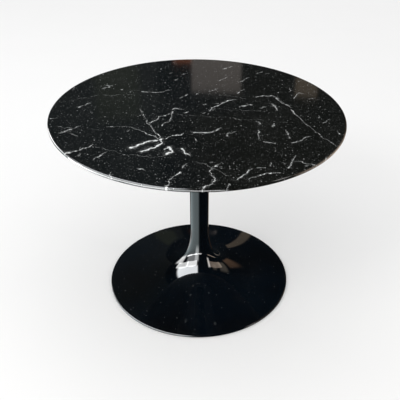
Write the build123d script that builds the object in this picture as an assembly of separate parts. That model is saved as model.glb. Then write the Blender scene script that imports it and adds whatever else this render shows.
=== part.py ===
"""Round pedestal table: a polished stone top on a one-piece trumpet pedestal.

The frame has +Z up, and its origin is on the floor, on the pedestal's axis. Sizes are in millimetres.
The pedestal is a cast aluminium shell, thin-walled from its wide rim to its flared head. A tie rod
runs down its column, from the boss under the mounting plate to a web in the casting, and pulls the
plate down onto the head. The stone is screwed to the plate through brass inserts. Below, a steel
plate closes the shell, holds an iron ballast ring, and carries the levelling glides.
"""

from build123d import *
import math
import os

# Overall
TABLE_HEIGHT = 720.0
TOP_DIAMETER = 1000.0
BASE_DIAMETER = 700.0

# Stone top
TOP_THICKNESS = 20.0
NOSE_HEIGHT = 13.0
BEVEL_WIDTH = 48.0
ARRIS_RADIUS = 5.0

# Pedestal shell, outside
COLUMN_DIAMETER = 70.0
RIM_HEIGHT = 7.5
RIM_GAP = 2.0
RIM_ROUND = 2.5
DISH_PULL_RADIUS = 125.0
DISH_PULL_HEIGHT = 48.0
FLARE_PULL_HEIGHT = 40.0
FLARE_TOP = 245.0
HEAD_DIAMETER = 116.0
HEAD_LIP = 5.0
HEAD_FLARE_BOTTOM_DROP = 230.0
HEAD_FLARE_PULL_LOW_DROP = 105.0
HEAD_FLARE_PULL_HIGH_DROP = 34.0
HEAD_FLARE_PULL_HIGH_OUT = 7.0

# Pedestal shell, inside
WALL = 5.0
WALL_EASE = 0.6
RIM_BEAD = 16.0
HEAD_THICKNESS = 25.0
WEB_UNDERSIDE = 95.0
WEB_THICKNESS = 12.0
BOSS_DIAMETER = 18.0
BOSS_COUNT = 5
BOSS_INSET = 150.0
BOSS_TURN = 90.0

# Floor ring, let into the rim
RING_WIDTH = 8.0
RING_INSET = 4.0
RING_DEPTH = 1.5

# Mounting plate, its boss and the two soft layers
PLATE_DIAMETER = 320.0
PLATE_THICKNESS = 6.0
PAD_THICKNESS = 2.0
PAD_MARGIN = 4.0
GASKET_THICKNESS = 2.0
GASKET_MARGIN = 2.0
PLATE_BOSS_DIAMETER = 50.0
PLATE_BOSS_LENGTH = 50.0
PLATE_BOSS_THREAD_DEPTH = 44.0

# Screws and inserts that hold the stone
TOP_SCREW_COUNT = 6
TOP_SCREW_CIRCLE = 250.0
TOP_SCREW_TURN = 30.0
TOP_SCREW_DIAMETER = 8.0
TOP_SCREW_HEAD_DIAMETER = 14.0
TOP_SCREW_HEAD_HEIGHT = 4.4
TOP_SCREW_KEY = 5.0
TOP_SCREW_KEY_DEPTH = 2.6
TOP_SCREW_BITE = 11.0
TOP_WASHER_DIAMETER = 20.0
TOP_WASHER_THICKNESS = 1.6
INSERT_DIAMETER = 13.0
INSERT_LENGTH = 13.0

# Tie rod and what tightens it
ROD_DIAMETER = 16.0
ROD_BITE = 38.0
ROD_CHAMFER = 1.5
ROD_TAIL = 6.0
ROD_WASHER_DIAMETER = 50.0
ROD_WASHER_THICKNESS = 5.0
ROD_SPRING_DIAMETER = 27.0
ROD_SPRING_THICKNESS = 4.0
ROD_SPRING_SPLIT = 2.0
ROD_SPRING_SLANT = 25.0
ROD_NUT_WIDTH = 24.0
ROD_NUT_HEIGHT = 14.5

# Base plate, ballast and access cap
BASE_PLATE_UNDERSIDE = 8.0
BASE_PLATE_THICKNESS = 4.0
ACCESS_DIAMETER = 90.0
CAP_FLANGE = 4.0
CAP_THICKNESS = 1.5
CAP_WALL = 1.5
CAP_DEPTH = 7.0
BALLAST_BORE = 110.0
BALLAST_HEIGHT = 20.0
BALLAST_GAP = 5.0
BALLAST_BOLT_COUNT = 3
BALLAST_BOLT_TURN = 30.0
BALLAST_BOLT_DIAMETER = 8.0
BALLAST_BOLT_BITE = 14.0
PLATE_SCREW_DIAMETER = 6.0
PLATE_SCREW_HEAD_DIAMETER = 11.0
PLATE_SCREW_HEAD_HEIGHT = 3.0
PLATE_SCREW_KEY = 4.0
PLATE_SCREW_KEY_DEPTH = 1.8
PLATE_SCREW_BITE = 10.0

# Levelling glides
GLIDE_COUNT = 5
GLIDE_INSET = 110.0
GLIDE_TRAVEL = 5.5
GLIDE_THREAD_LEFT = 5.5
GLIDE_FLOOR_GAP = 0.8
GLIDE_FOOT_DIAMETER = 30.0
GLIDE_FOOT_HEIGHT = 3.8
GLIDE_FOOT_FLOOR = 1.1
GLIDE_FOOT_BEVEL = 1.0
GLIDE_FOOT_DRAFT = 2.0
GLIDE_STUD_DIAMETER = 8.0
GLIDE_PIVOT_DIAMETER = 10.0
GLIDE_COLLAR_WIDTH = 13.0
GLIDE_COLLAR_REST_GAP = 0.2
GLIDE_BUSH_DIAMETER = 14.0
GLIDE_BUSH_FLANGE_DIAMETER = 22.0
GLIDE_BUSH_FLANGE_THICKNESS = 2.5

# Shape of screw heads and nuts
CROWN_SHARE = 0.55
DOME_OUT_SHARE = 0.86
DOME_UP_SHARE = 0.34
NUT_TURNING_ANGLE = 30.0

# Clearances
THREAD_GAP = 0.05
HOLE_GAP = 0.5
SEAT_GAP = 0.5
SHELL_GAP = 0.6
TIP_GAP = 0.5
PIVOT_END_GAP = 0.1
CHAMFER = 0.5
EDGE_TOLERANCE = 0.01

# Levels and radii that follow from the sizes above
TOP_RADIUS = TOP_DIAMETER / 2
BASE_RADIUS = BASE_DIAMETER / 2
COLUMN_RADIUS = COLUMN_DIAMETER / 2
HEAD_RADIUS = HEAD_DIAMETER / 2
STONE_UNDERSIDE = TABLE_HEIGHT - TOP_THICKNESS
PLATE_TOP = STONE_UNDERSIDE - PAD_THICKNESS
PLATE_UNDERSIDE = PLATE_TOP - PLATE_THICKNESS
HEAD_TOP = PLATE_UNDERSIDE - GASKET_THICKNESS
WEB_TOP = WEB_UNDERSIDE + WEB_THICKNESS
BASE_PLATE_TOP = BASE_PLATE_UNDERSIDE + BASE_PLATE_THICKNESS
HEAD_BORE_RADIUS = PLATE_BOSS_DIAMETER / 2 + SEAT_GAP
BOSS_CIRCLE_RADIUS = BASE_RADIUS - BOSS_INSET
GLIDE_CIRCLE_RADIUS = BASE_RADIUS - GLIDE_INSET
BALLAST_RADIUS = BOSS_CIRCLE_RADIUS - BOSS_DIAMETER / 2 - BALLAST_GAP
BALLAST_BOLT_RADIUS = (BALLAST_BORE / 2 + BALLAST_RADIUS) / 2
GLIDE_BUSH_LENGTH = GLIDE_TRAVEL + GLIDE_THREAD_LEFT


def turned(*edges):
    """A solid turned about the Z axis, from edges drawn as (radius, height) that close on themselves."""
    return revolve(Plane.XZ * make_face(Curve() + list(edges)), Axis.Z, 360)


def tube(inner_radius, outer_radius, low, high):
    """A ring, or a disc where the inner radius is 0."""
    corners = [(inner_radius, low), (outer_radius, low), (outer_radius, high), (inner_radius, high)]
    return turned(Polyline(*corners, close=True))


def hexagon(width_across_flats, low, high):
    """A hexagonal prism whose corners are turned off at both ends, as on a nut."""
    outline = RegularPolygon(width_across_flats / 2, 6, major_radius=False)
    prism = Pos(0, 0, low) * extrude(outline, high - low)
    corner_radius = width_across_flats / math.sqrt(3)
    drop = (corner_radius - width_across_flats / 2 + CHAMFER / 2) * math.tan(math.radians(NUT_TURNING_ANGLE))
    drop = min(drop, (high - low) / 3)
    flat_radius = width_across_flats / 2 - CHAMFER / 2
    trim = turned(
        Polyline(
            (0, low),
            (flat_radius, low),
            (corner_radius, low + drop),
            (corner_radius, high - drop),
            (flat_radius, high),
            (0, high),
            close=True,
        )
    )
    return prism & trim


def around(count, radius, turn=0.0):
    """Places evenly spaced on a circle about the Z axis."""
    step = 360.0 / count
    angles = [math.radians(turn + step * i) for i in range(count)]
    return [(radius * math.cos(a), radius * math.sin(a)) for a in angles]


def copies(solid, places):
    """One copy of a solid at each place, kept as separate solids."""
    return Compound(children=[Pos(x, y, 0) * solid for x, y in places])


def drilled(solid, places, radius, low, high):
    """The solid with a round hole at each place."""
    drill = tube(0, radius, low, high)
    for x, y in places:
        solid = solid - Pos(x, y, 0) * drill
    return solid


def key_screw(seat, diameter, head_diameter, head_height, key, key_depth, length):
    """A screw that points up, with its domed head under the seat and a hexagonal key socket."""
    head_radius = head_diameter / 2
    shank_radius = diameter / 2
    low = seat - head_height
    tip = seat + length
    crown = (head_radius * CROWN_SHARE, low)
    dome = (head_radius * DOME_OUT_SHARE, low + head_height * DOME_UP_SHARE)
    brim = (head_radius, seat - CHAMFER)
    profile = [
        Line((0, low), crown),
        ThreePointArc(crown, dome, brim),
        Polyline(
            brim,
            (head_radius, seat),
            (shank_radius, seat),
            (shank_radius, tip - CHAMFER),
            (shank_radius - CHAMFER, tip),
            (0, tip),
            (0, low),
        ),
    ]
    socket = Pos(0, 0, low) * extrude(RegularPolygon(key / 2, 6, major_radius=False), key_depth)
    return turned(*profile) - socket


def bell(inward):
    """The solid inside the pedestal's outer surface, moved in by a wall thickness or a clearance."""
    low_slope = math.atan2(DISH_PULL_HEIGHT - RIM_HEIGHT, BASE_RADIUS - DISH_PULL_RADIUS)
    rim = (BASE_RADIUS - inward * math.sin(low_slope), RIM_HEIGHT - inward * math.cos(low_slope))
    dish_pull = (DISH_PULL_RADIUS - inward * WALL_EASE, DISH_PULL_HEIGHT - inward)
    flare_pull = (COLUMN_RADIUS - inward, FLARE_PULL_HEIGHT - inward * WALL_EASE)
    flare_top = (COLUMN_RADIUS - inward, FLARE_TOP)
    head_bottom = (COLUMN_RADIUS - inward, HEAD_TOP - HEAD_FLARE_BOTTOM_DROP)
    head_pull_low = (COLUMN_RADIUS - inward, HEAD_TOP - HEAD_FLARE_PULL_LOW_DROP)
    head_pull_high = (
        COLUMN_RADIUS + HEAD_FLARE_PULL_HIGH_OUT - inward,
        HEAD_TOP - HEAD_FLARE_PULL_HIGH_DROP,
    )
    head_edge = (HEAD_RADIUS - inward, HEAD_TOP - HEAD_LIP)
    floor = min(RIM_GAP, rim[1])
    return turned(
        Polyline((0, floor), (rim[0], floor), rim) if rim[1] > floor else Line((0, floor), rim),
        Bezier(rim, dish_pull, flare_pull, flare_top),
        Line(flare_top, head_bottom),
        Bezier(head_bottom, head_pull_low, head_pull_high, head_edge),
        Polyline(head_edge, (HEAD_RADIUS - inward, HEAD_TOP), (0, HEAD_TOP), (0, floor)),
    )


def edges_at(solid, radius, height):
    """The circular edges of a solid with that radius, about the Z axis, at that height."""
    found = solid.edges().filter_by(GeomType.CIRCLE)
    same_radius = [e for e in found if abs(e.radius - radius) < EDGE_TOLERANCE]
    return [e for e in same_radius if abs(e.arc_center.Z - height) < EDGE_TOLERANCE]


TOP_SCREW_PLACES = around(TOP_SCREW_COUNT, TOP_SCREW_CIRCLE / 2, TOP_SCREW_TURN)
BOSS_PLACES = around(BOSS_COUNT, BOSS_CIRCLE_RADIUS, BOSS_TURN)
GLIDE_PLACES = around(GLIDE_COUNT, GLIDE_CIRCLE_RADIUS, BOSS_TURN + 180.0 / GLIDE_COUNT)
BALLAST_BOLT_PLACES = around(BALLAST_BOLT_COUNT, BALLAST_BOLT_RADIUS, BALLAST_BOLT_TURN)


def marble_top():
    """The stone disc: a rounded nose over a wide bevel, with blind holes for its inserts."""
    nose_bottom = TABLE_HEIGHT - NOSE_HEIGHT
    disc = turned(
        Polyline(
            (0, STONE_UNDERSIDE),
            (TOP_RADIUS - BEVEL_WIDTH, STONE_UNDERSIDE),
            (TOP_RADIUS, nose_bottom),
            (TOP_RADIUS, TABLE_HEIGHT),
            (0, TABLE_HEIGHT),
            close=True,
        )
    )
    arrises = edges_at(disc, TOP_RADIUS, nose_bottom) + edges_at(disc, TOP_RADIUS, TABLE_HEIGHT)
    disc = fillet(arrises, ARRIS_RADIUS)
    hole_high = STONE_UNDERSIDE + INSERT_LENGTH
    return drilled(disc, TOP_SCREW_PLACES, INSERT_DIAMETER / 2, STONE_UNDERSIDE, hole_high)


def top_inserts():
    """Brass threaded inserts, bonded into the stone flush with its underside."""
    bore = TOP_SCREW_DIAMETER / 2 + THREAD_GAP
    insert = tube(bore, INSERT_DIAMETER / 2, STONE_UNDERSIDE, STONE_UNDERSIDE + INSERT_LENGTH)
    return copies(insert, TOP_SCREW_PLACES)


def top_pad():
    """The soft disc between the stone and the steel plate."""
    disc = tube(0, PLATE_DIAMETER / 2 - PAD_MARGIN, PLATE_TOP, STONE_UNDERSIDE)
    return drilled(disc, TOP_SCREW_PLACES, TOP_SCREW_DIAMETER / 2 + HOLE_GAP, PLATE_TOP, STONE_UNDERSIDE)


def mounting_plate():
    """The round steel plate that carries the stone."""
    disc = tube(0, PLATE_DIAMETER / 2, PLATE_UNDERSIDE, PLATE_TOP)
    disc = chamfer(edges_at(disc, PLATE_DIAMETER / 2, PLATE_UNDERSIDE), 2 * CHAMFER)
    return drilled(disc, TOP_SCREW_PLACES, TOP_SCREW_DIAMETER / 2 + HOLE_GAP, PLATE_UNDERSIDE, PLATE_TOP)


def plate_boss():
    """The turned boss welded under the plate; the tie rod screws into it from below."""
    low = PLATE_UNDERSIDE - PLATE_BOSS_LENGTH
    solid = tube(0, PLATE_BOSS_DIAMETER / 2, low, PLATE_UNDERSIDE)
    solid = chamfer(edges_at(solid, PLATE_BOSS_DIAMETER / 2, low), 2 * CHAMFER)
    return solid - tube(0, ROD_DIAMETER / 2 + THREAD_GAP, low, low + PLATE_BOSS_THREAD_DEPTH)


def top_washers():
    """Flat washers under the heads of the top screws."""
    bore = TOP_SCREW_DIAMETER / 2 + HOLE_GAP
    low = PLATE_UNDERSIDE - TOP_WASHER_THICKNESS
    return copies(tube(bore, TOP_WASHER_DIAMETER / 2, low, PLATE_UNDERSIDE), TOP_SCREW_PLACES)


def top_screws():
    """The screws that hold the stone to the plate."""
    seat = PLATE_UNDERSIDE - TOP_WASHER_THICKNESS
    length = STONE_UNDERSIDE - seat + TOP_SCREW_BITE
    screw = key_screw(
        seat,
        TOP_SCREW_DIAMETER,
        TOP_SCREW_HEAD_DIAMETER,
        TOP_SCREW_HEAD_HEIGHT,
        TOP_SCREW_KEY,
        TOP_SCREW_KEY_DEPTH,
        length,
    )
    return copies(screw, TOP_SCREW_PLACES)


def head_gasket():
    """The thin ring between the pedestal's head and the plate."""
    return tube(HEAD_BORE_RADIUS, HEAD_RADIUS - GASKET_MARGIN, HEAD_TOP, PLATE_UNDERSIDE)


def pedestal_shell():
    """The cast shell: dish, trumpet flare, column and head, with its inner web and screw bosses."""
    outer = bell(0)
    outer = fillet(edges_at(outer, BASE_RADIUS, RIM_HEIGHT), RIM_ROUND)
    cavity = bell(WALL)
    cavity = cavity & tube(0, BASE_RADIUS, 0, HEAD_TOP - HEAD_THICKNESS)
    rim_opening = tube(0, BASE_RADIUS - RIM_BEAD, 0, HEAD_TOP)
    below_dish = turned(
        Polyline(
            (0, 0),
            (BASE_RADIUS - RIM_BEAD, 0),
            (BASE_RADIUS - RIM_BEAD, RIM_GAP),
            (0, RIM_GAP),
            close=True,
        )
    )
    shell = outer - (cavity & rim_opening) - below_dish
    web = tube(0, BASE_RADIUS, WEB_UNDERSIDE, WEB_TOP) & outer
    shell = shell + web
    boss = tube(0, BOSS_DIAMETER / 2, BASE_PLATE_TOP, WEB_UNDERSIDE)
    for x, y in BOSS_PLACES:
        shell = shell + ((Pos(x, y, 0) * boss) & outer)
    shell = shell - tube(0, HEAD_BORE_RADIUS, HEAD_TOP - HEAD_THICKNESS, HEAD_TOP)
    shell = shell - tube(0, ROD_DIAMETER / 2 + HOLE_GAP, WEB_UNDERSIDE, WEB_TOP)
    tapped = PLATE_SCREW_DIAMETER / 2 + THREAD_GAP
    shell = drilled(shell, BOSS_PLACES, tapped, BASE_PLATE_TOP, BASE_PLATE_TOP + PLATE_SCREW_BITE + TIP_GAP)
    groove_outer = BASE_RADIUS - RING_INSET
    return shell - tube(groove_outer - RING_WIDTH, groove_outer, RIM_GAP, RIM_GAP + RING_DEPTH)


def floor_ring():
    """The plastic ring let into the underside of the rim; the table stands on it."""
    outer_radius = BASE_RADIUS - RING_INSET
    ring = tube(outer_radius - RING_WIDTH, outer_radius, 0, RIM_GAP + RING_DEPTH)
    feet = edges_at(ring, outer_radius, 0) + edges_at(ring, outer_radius - RING_WIDTH, 0)
    return chamfer(feet, CHAMFER)


def tie_rod():
    """The rod from the plate's boss to the nut under the web."""
    boss_low = PLATE_UNDERSIDE - PLATE_BOSS_LENGTH
    stack = ROD_WASHER_THICKNESS + ROD_SPRING_THICKNESS + ROD_NUT_HEIGHT
    low = WEB_UNDERSIDE - stack - ROD_TAIL
    high = boss_low + ROD_BITE
    rod = tube(0, ROD_DIAMETER / 2, low, high)
    ends = edges_at(rod, ROD_DIAMETER / 2, low) + edges_at(rod, ROD_DIAMETER / 2, high)
    return chamfer(ends, ROD_CHAMFER)


def rod_washer():
    """The thick washer that bears on the web."""
    low = WEB_UNDERSIDE - ROD_WASHER_THICKNESS
    return tube(ROD_DIAMETER / 2 + HOLE_GAP, ROD_WASHER_DIAMETER / 2, low, WEB_UNDERSIDE)


def rod_spring_washer():
    """The split spring washer between the thick washer and the nut."""
    high = WEB_UNDERSIDE - ROD_WASHER_THICKNESS
    low = high - ROD_SPRING_THICKNESS
    ring = tube(ROD_DIAMETER / 2 + HOLE_GAP / 2, ROD_SPRING_DIAMETER / 2, low, high)
    saw = Rot(ROD_SPRING_SLANT, 0, 0) * Box(ROD_SPRING_DIAMETER, ROD_SPRING_SPLIT, 3 * ROD_SPRING_THICKNESS)
    return ring - Pos(ROD_SPRING_DIAMETER / 2, 0, (low + high) / 2) * saw


def rod_nut():
    """The nut that tightens the tie rod."""
    high = WEB_UNDERSIDE - ROD_WASHER_THICKNESS - ROD_SPRING_THICKNESS
    low = high - ROD_NUT_HEIGHT
    return hexagon(ROD_NUT_WIDTH, low, high) - tube(0, ROD_DIAMETER / 2 + THREAD_GAP, low, high)


def base_plate():
    """The steel disc that closes the shell, with an access hole for the rod's nut."""
    plate = tube(ACCESS_DIAMETER / 2, BASE_RADIUS - RIM_BEAD, BASE_PLATE_UNDERSIDE, BASE_PLATE_TOP)
    plate = plate & bell(WALL + SHELL_GAP)
    low, high = BASE_PLATE_UNDERSIDE, BASE_PLATE_TOP
    plate = drilled(plate, BOSS_PLACES, PLATE_SCREW_DIAMETER / 2 + HOLE_GAP, low, high)
    plate = drilled(plate, BALLAST_BOLT_PLACES, BALLAST_BOLT_DIAMETER / 2 + HOLE_GAP, low, high)
    return drilled(plate, GLIDE_PLACES, GLIDE_BUSH_DIAMETER / 2, low, high)


def base_plate_screws():
    """The screws from the plate into the shell's bosses."""
    screw = key_screw(
        BASE_PLATE_UNDERSIDE,
        PLATE_SCREW_DIAMETER,
        PLATE_SCREW_HEAD_DIAMETER,
        PLATE_SCREW_HEAD_HEIGHT,
        PLATE_SCREW_KEY,
        PLATE_SCREW_KEY_DEPTH,
        BASE_PLATE_THICKNESS + PLATE_SCREW_BITE,
    )
    return copies(screw, BOSS_PLACES)


def ballast_ring():
    """The cast iron weight, whose outer edge follows the inside of the dish."""
    high = BASE_PLATE_TOP + BALLAST_HEIGHT
    ring = tube(BALLAST_BORE / 2, BALLAST_RADIUS, BASE_PLATE_TOP, high) & bell(WALL + BALLAST_GAP / 2)
    tapped = BALLAST_BOLT_DIAMETER / 2 + THREAD_GAP
    depth = BASE_PLATE_TOP + BALLAST_BOLT_BITE + TIP_GAP
    return drilled(ring, BALLAST_BOLT_PLACES, tapped, BASE_PLATE_TOP, depth)


def ballast_bolts():
    """The screws that hold the ballast down on the plate."""
    bolt = key_screw(
        BASE_PLATE_UNDERSIDE,
        BALLAST_BOLT_DIAMETER,
        TOP_SCREW_HEAD_DIAMETER,
        TOP_SCREW_HEAD_HEIGHT,
        TOP_SCREW_KEY,
        TOP_SCREW_KEY_DEPTH,
        BASE_PLATE_THICKNESS + BALLAST_BOLT_BITE,
    )
    return copies(bolt, BALLAST_BOLT_PLACES)


def access_cap():
    """The plastic cap pressed into the access hole from below."""
    plug_radius = ACCESS_DIAMETER / 2 - THREAD_GAP
    low = BASE_PLATE_UNDERSIDE - CAP_THICKNESS
    flange = tube(0, ACCESS_DIAMETER / 2 + CAP_FLANGE, low, BASE_PLATE_UNDERSIDE)
    flange = fillet(edges_at(flange, ACCESS_DIAMETER / 2 + CAP_FLANGE, low), CAP_THICKNESS / 2)
    wall = tube(plug_radius - CAP_WALL, plug_radius, BASE_PLATE_UNDERSIDE, BASE_PLATE_UNDERSIDE + CAP_DEPTH)
    return flange + wall


def glide_bushes():
    """The threaded bushes set in the base plate, one for each glide."""
    bore = GLIDE_STUD_DIAMETER / 2 + THREAD_GAP
    high = BASE_PLATE_UNDERSIDE + GLIDE_BUSH_LENGTH
    flange_high = BASE_PLATE_TOP + GLIDE_BUSH_FLANGE_THICKNESS
    bush = turned(
        Polyline(
            (bore, BASE_PLATE_UNDERSIDE),
            (GLIDE_BUSH_DIAMETER / 2, BASE_PLATE_UNDERSIDE),
            (GLIDE_BUSH_DIAMETER / 2, BASE_PLATE_TOP),
            (GLIDE_BUSH_FLANGE_DIAMETER / 2, BASE_PLATE_TOP),
            (GLIDE_BUSH_FLANGE_DIAMETER / 2, flange_high),
            (GLIDE_BUSH_DIAMETER / 2, flange_high),
            (GLIDE_BUSH_DIAMETER / 2, high),
            (bore, high),
            close=True,
        )
    )
    # a thicker wall trims them as it trims the base plate
    return copies(bush, GLIDE_PLACES) & bell(WALL + SHELL_GAP)


def glide_foot():
    """The nylon foot of a glide; it rises and falls but needn't turn."""
    radius = GLIDE_FOOT_DIAMETER / 2
    low = GLIDE_FLOOR_GAP
    high = low + GLIDE_FOOT_HEIGHT
    foot = turned(
        Polyline(
            (0, low),
            (radius - GLIDE_FOOT_BEVEL, low),
            (radius, low + GLIDE_FOOT_BEVEL),
            (radius - GLIDE_FOOT_DRAFT, high),
            (0, high),
            close=True,
        )
    )
    return foot - tube(0, GLIDE_PIVOT_DIAMETER / 2 + THREAD_GAP, low + GLIDE_FOOT_FLOOR, high)


def glide_stud():
    """The threaded stud of a glide, with a hexagonal collar and a pivot that sits in the foot."""
    foot_high = GLIDE_FLOOR_GAP + GLIDE_FOOT_HEIGHT
    pivot_low = GLIDE_FLOOR_GAP + GLIDE_FOOT_FLOOR + PIVOT_END_GAP
    collar_low = foot_high + PIVOT_END_GAP
    collar_high = BASE_PLATE_UNDERSIDE - GLIDE_COLLAR_REST_GAP
    tip = BASE_PLATE_UNDERSIDE + GLIDE_BUSH_LENGTH
    pivot = tube(0, GLIDE_PIVOT_DIAMETER / 2, pivot_low, collar_low)
    shank = tube(0, GLIDE_STUD_DIAMETER / 2, collar_high, tip)
    shank = chamfer(edges_at(shank, GLIDE_STUD_DIAMETER / 2, tip), 2 * CHAMFER)
    return pivot + hexagon(GLIDE_COLLAR_WIDTH, collar_low, collar_high) + shank


def write(name, shape):
    """Writes one node's STEP file."""
    shape.label = name
    export_step(shape, os.path.join("parts", name + ".step"))


os.makedirs("parts", exist_ok=True)
NODES = [
    marble_top,
    top_inserts,
    top_pad,
    mounting_plate,
    plate_boss,
    top_washers,
    top_screws,
    head_gasket,
    pedestal_shell,
    floor_ring,
    tie_rod,
    rod_washer,
    rod_spring_washer,
    rod_nut,
    base_plate,
    base_plate_screws,
    ballast_ring,
    ballast_bolts,
    access_cap,
    glide_bushes,
]
for make in NODES:
    write(make.__name__, make())
foot, stud = glide_foot(), glide_stud()
for number, (x, y) in enumerate(GLIDE_PLACES, start=1):
    write(f"glide_foot_{number}", Pos(x, y, 0) * foot)
    write(f"glide_stud_{number}", Pos(x, y, 0) * stud)
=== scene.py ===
"""A round stone table on a trumpet pedestal, modelled and finished round its CAD frame.

Laid out as an add-on and run as a script. Lengths are in metres, +Z is up, and the origin is on the
floor on the pedestal's axis. The stone and the casting are modelled here as finer pieces; the steel,
brass and plastic parts keep their CAD shapes and get finishes.
"""

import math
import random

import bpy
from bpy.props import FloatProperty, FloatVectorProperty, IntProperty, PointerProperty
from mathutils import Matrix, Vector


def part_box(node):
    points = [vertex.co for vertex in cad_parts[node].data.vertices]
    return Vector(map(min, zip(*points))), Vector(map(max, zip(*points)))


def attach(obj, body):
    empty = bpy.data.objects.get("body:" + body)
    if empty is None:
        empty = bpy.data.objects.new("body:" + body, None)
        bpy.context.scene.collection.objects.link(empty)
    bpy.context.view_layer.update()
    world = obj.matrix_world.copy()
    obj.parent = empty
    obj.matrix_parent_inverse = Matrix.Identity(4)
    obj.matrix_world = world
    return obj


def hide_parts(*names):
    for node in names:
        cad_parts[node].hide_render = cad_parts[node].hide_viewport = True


bl_info = {
    "name": "Stone Pedestal Table",
    "version": (1, 0, 0),
    "blender": (4, 5, 0),
    "location": "View3D > Sidebar > Pedestal Table",
    "description": "Models a round veined stone top on a lacquered trumpet pedestal",
    "category": "Add Mesh",
}

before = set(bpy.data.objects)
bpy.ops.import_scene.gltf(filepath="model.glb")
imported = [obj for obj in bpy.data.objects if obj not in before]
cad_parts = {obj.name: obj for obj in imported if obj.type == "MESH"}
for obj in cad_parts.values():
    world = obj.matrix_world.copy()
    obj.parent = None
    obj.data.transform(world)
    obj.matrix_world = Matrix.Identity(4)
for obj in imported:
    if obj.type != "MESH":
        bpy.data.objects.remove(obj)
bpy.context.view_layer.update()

BODY = "table"
GLIDES = range(1, 1 + sum(name.startswith("glide_foot_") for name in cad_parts))

# Levels and radii, read from the frame
STONE_LOW, STONE_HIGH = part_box("marble_top")
SHELL_LOW, SHELL_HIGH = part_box("pedestal_shell")
BOSS_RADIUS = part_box("plate_boss")[1].x
RING_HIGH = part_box("floor_ring")[1]
WASHER_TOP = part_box("rod_washer")[1].z
INSERT_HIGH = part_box("top_inserts")[1]
BASE_PLATE_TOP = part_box("base_plate")[1].z

# How near two places are to count as one, and the looser measure by which a ring's points are found
EPSILON = 1e-6
LOOSE = 1e-5

# The inserts and the screw bosses: how many, and the turn of the first in degrees
INSERTS = 6
INSERT_TURN = 30.0
BOSSES = 5
BOSS_TURN = 90.0

# How finely shapes are divided; a profile of 0.5 makes a bevel round
ARRIS_SEGMENTS = 6
RIM_SEGMENTS = 5
ROUND = 0.5
OUTER_STEPS = 72
INNER_STEPS = 60
COLUMN_STEPS = 12
HOLE_FACETS = 24

# The stone's flats are its only faces over this area, and rings this far in hold their shading
FLAT_AREA = 0.1
SUPPORT_INSETS = (0.0015, 0.006)


def length_setting(name, description, default):
    """A length in the sidebar."""
    return FloatProperty(name=name, description=description, default=default, unit="LENGTH")


def point_setting(name, description, default):
    """A pair of lengths in the sidebar."""
    return FloatVectorProperty(name=name, description=description, default=default, size=2, unit="LENGTH")


def angle_setting(name, description, degrees):
    """An angle in the sidebar."""
    return FloatProperty(name=name, description=description, default=math.radians(degrees), unit="ROTATION")


def colour_setting(name, description, default):
    """A colour in the sidebar."""
    return FloatVectorProperty(name=name, description=description, default=default, subtype="COLOR")


class StoneSettings(bpy.types.PropertyGroup):
    """Sizes and colours of the stone disc."""

    nose: length_setting("Nose", "Height of the upright edge", 0.013)
    bevel: length_setting("Bevel", "Width of the undercut", 0.048)
    arris: length_setting("Arris", "Radius of the edge's roundings", 0.005)
    insert: length_setting("Insert", "Radius of an insert's hole", 0.0065)
    facets: IntProperty(name="Facets", description="Flats round the edge", default=288, min=24)
    knot: point_setting("Knot", "Middle of the brightest veins", (-0.120, -0.265))
    ground: colour_setting("Ground", "Colour of the stone", (0.0020, 0.0021, 0.0021))
    cloud: colour_setting("Cloud", "Paler clouding in the stone", (0.0080, 0.0084, 0.0080))
    # sea green and olive are painted reflections: the greenish light mirrored on the stone's left side and
    # the warm room on its right
    painted_left_reflection: colour_setting("Sea green", "Drift of its left side", (0.0030, 0.0052, 0.0062))
    painted_right_reflection: colour_setting("Olive", "Drift of its right side", (0.0040, 0.0044, 0.0022))
    calcite: colour_setting("Calcite", "Colour of the veins", (0.84, 0.86, 0.86))


class PedestalSettings(bpy.types.PropertyGroup):
    """Sizes and colours of the cast pedestal."""

    column: length_setting("Column", "Radius of the column", 0.0350)
    wall: length_setting("Wall", "Thickness of the casting", 0.005)
    rim_height: length_setting("Rim", "Height of the rim's edge", 0.0075)
    rim_round: length_setting("Rim rounding", "Rounding of the rim", 0.0022)
    bead: length_setting("Bead", "Width of the solid rim", 0.016)
    ring: length_setting("Ring", "Width of the floor ring's groove", 0.008)
    dish_pull: point_setting("Dish pull", "Point that draws the dish in", (0.125, 0.048))
    flare_pull: length_setting("Flare pull", "Height that draws the flare", 0.040)
    flare_top: length_setting("Flare top", "Where the flare meets the column", 0.245)
    wall_ease: FloatProperty(
        name="Wall ease", description="Share of the wall at the pull points", default=0.6
    )
    head: length_setting("Head", "Radius of the head", 0.058)
    head_lip: length_setting("Head lip", "Upright edge of the head", 0.005)
    head_thickness: length_setting("Head depth", "Solid part of the head", 0.025)
    head_flare: length_setting("Head flare", "Length of the head's flare", 0.230)
    head_low_pull: length_setting("Low pull", "Drop that draws its foot", 0.105)
    head_high_pull: point_setting("High pull", "Step and drop that draw its top", (0.007, 0.034))
    web: length_setting("Web", "Thickness of the rod's web", 0.012)
    bore_gap: length_setting("Bore gap", "Play round the plate's boss", 0.0005)
    rod_hole: length_setting("Rod hole", "Radius of the rod's hole", 0.0085)
    boss: length_setting("Boss", "Radius of a screw boss", 0.009)
    boss_circle: length_setting("Boss circle", "Radius of their circle", 0.200)
    boss_top: length_setting("Boss top", "Height where a boss ends in the wall", 0.0315)
    boss_hole: length_setting("Boss hole", "Radius of its tapped hole", 0.00305)
    boss_hole_depth: length_setting("Hole depth", "Depth of its tapped hole", 0.0105)
    steps: IntProperty(name="Steps", description="Flats round the pedestal", default=224, min=24)
    lacquer: colour_setting("Lacquer", "Colour of the lacquer", (0.0012, 0.0016, 0.0022))
    lacquer_deep: colour_setting("Deep lacquer", "Its bluer patches", (0.0010, 0.0028, 0.0052))


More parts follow.
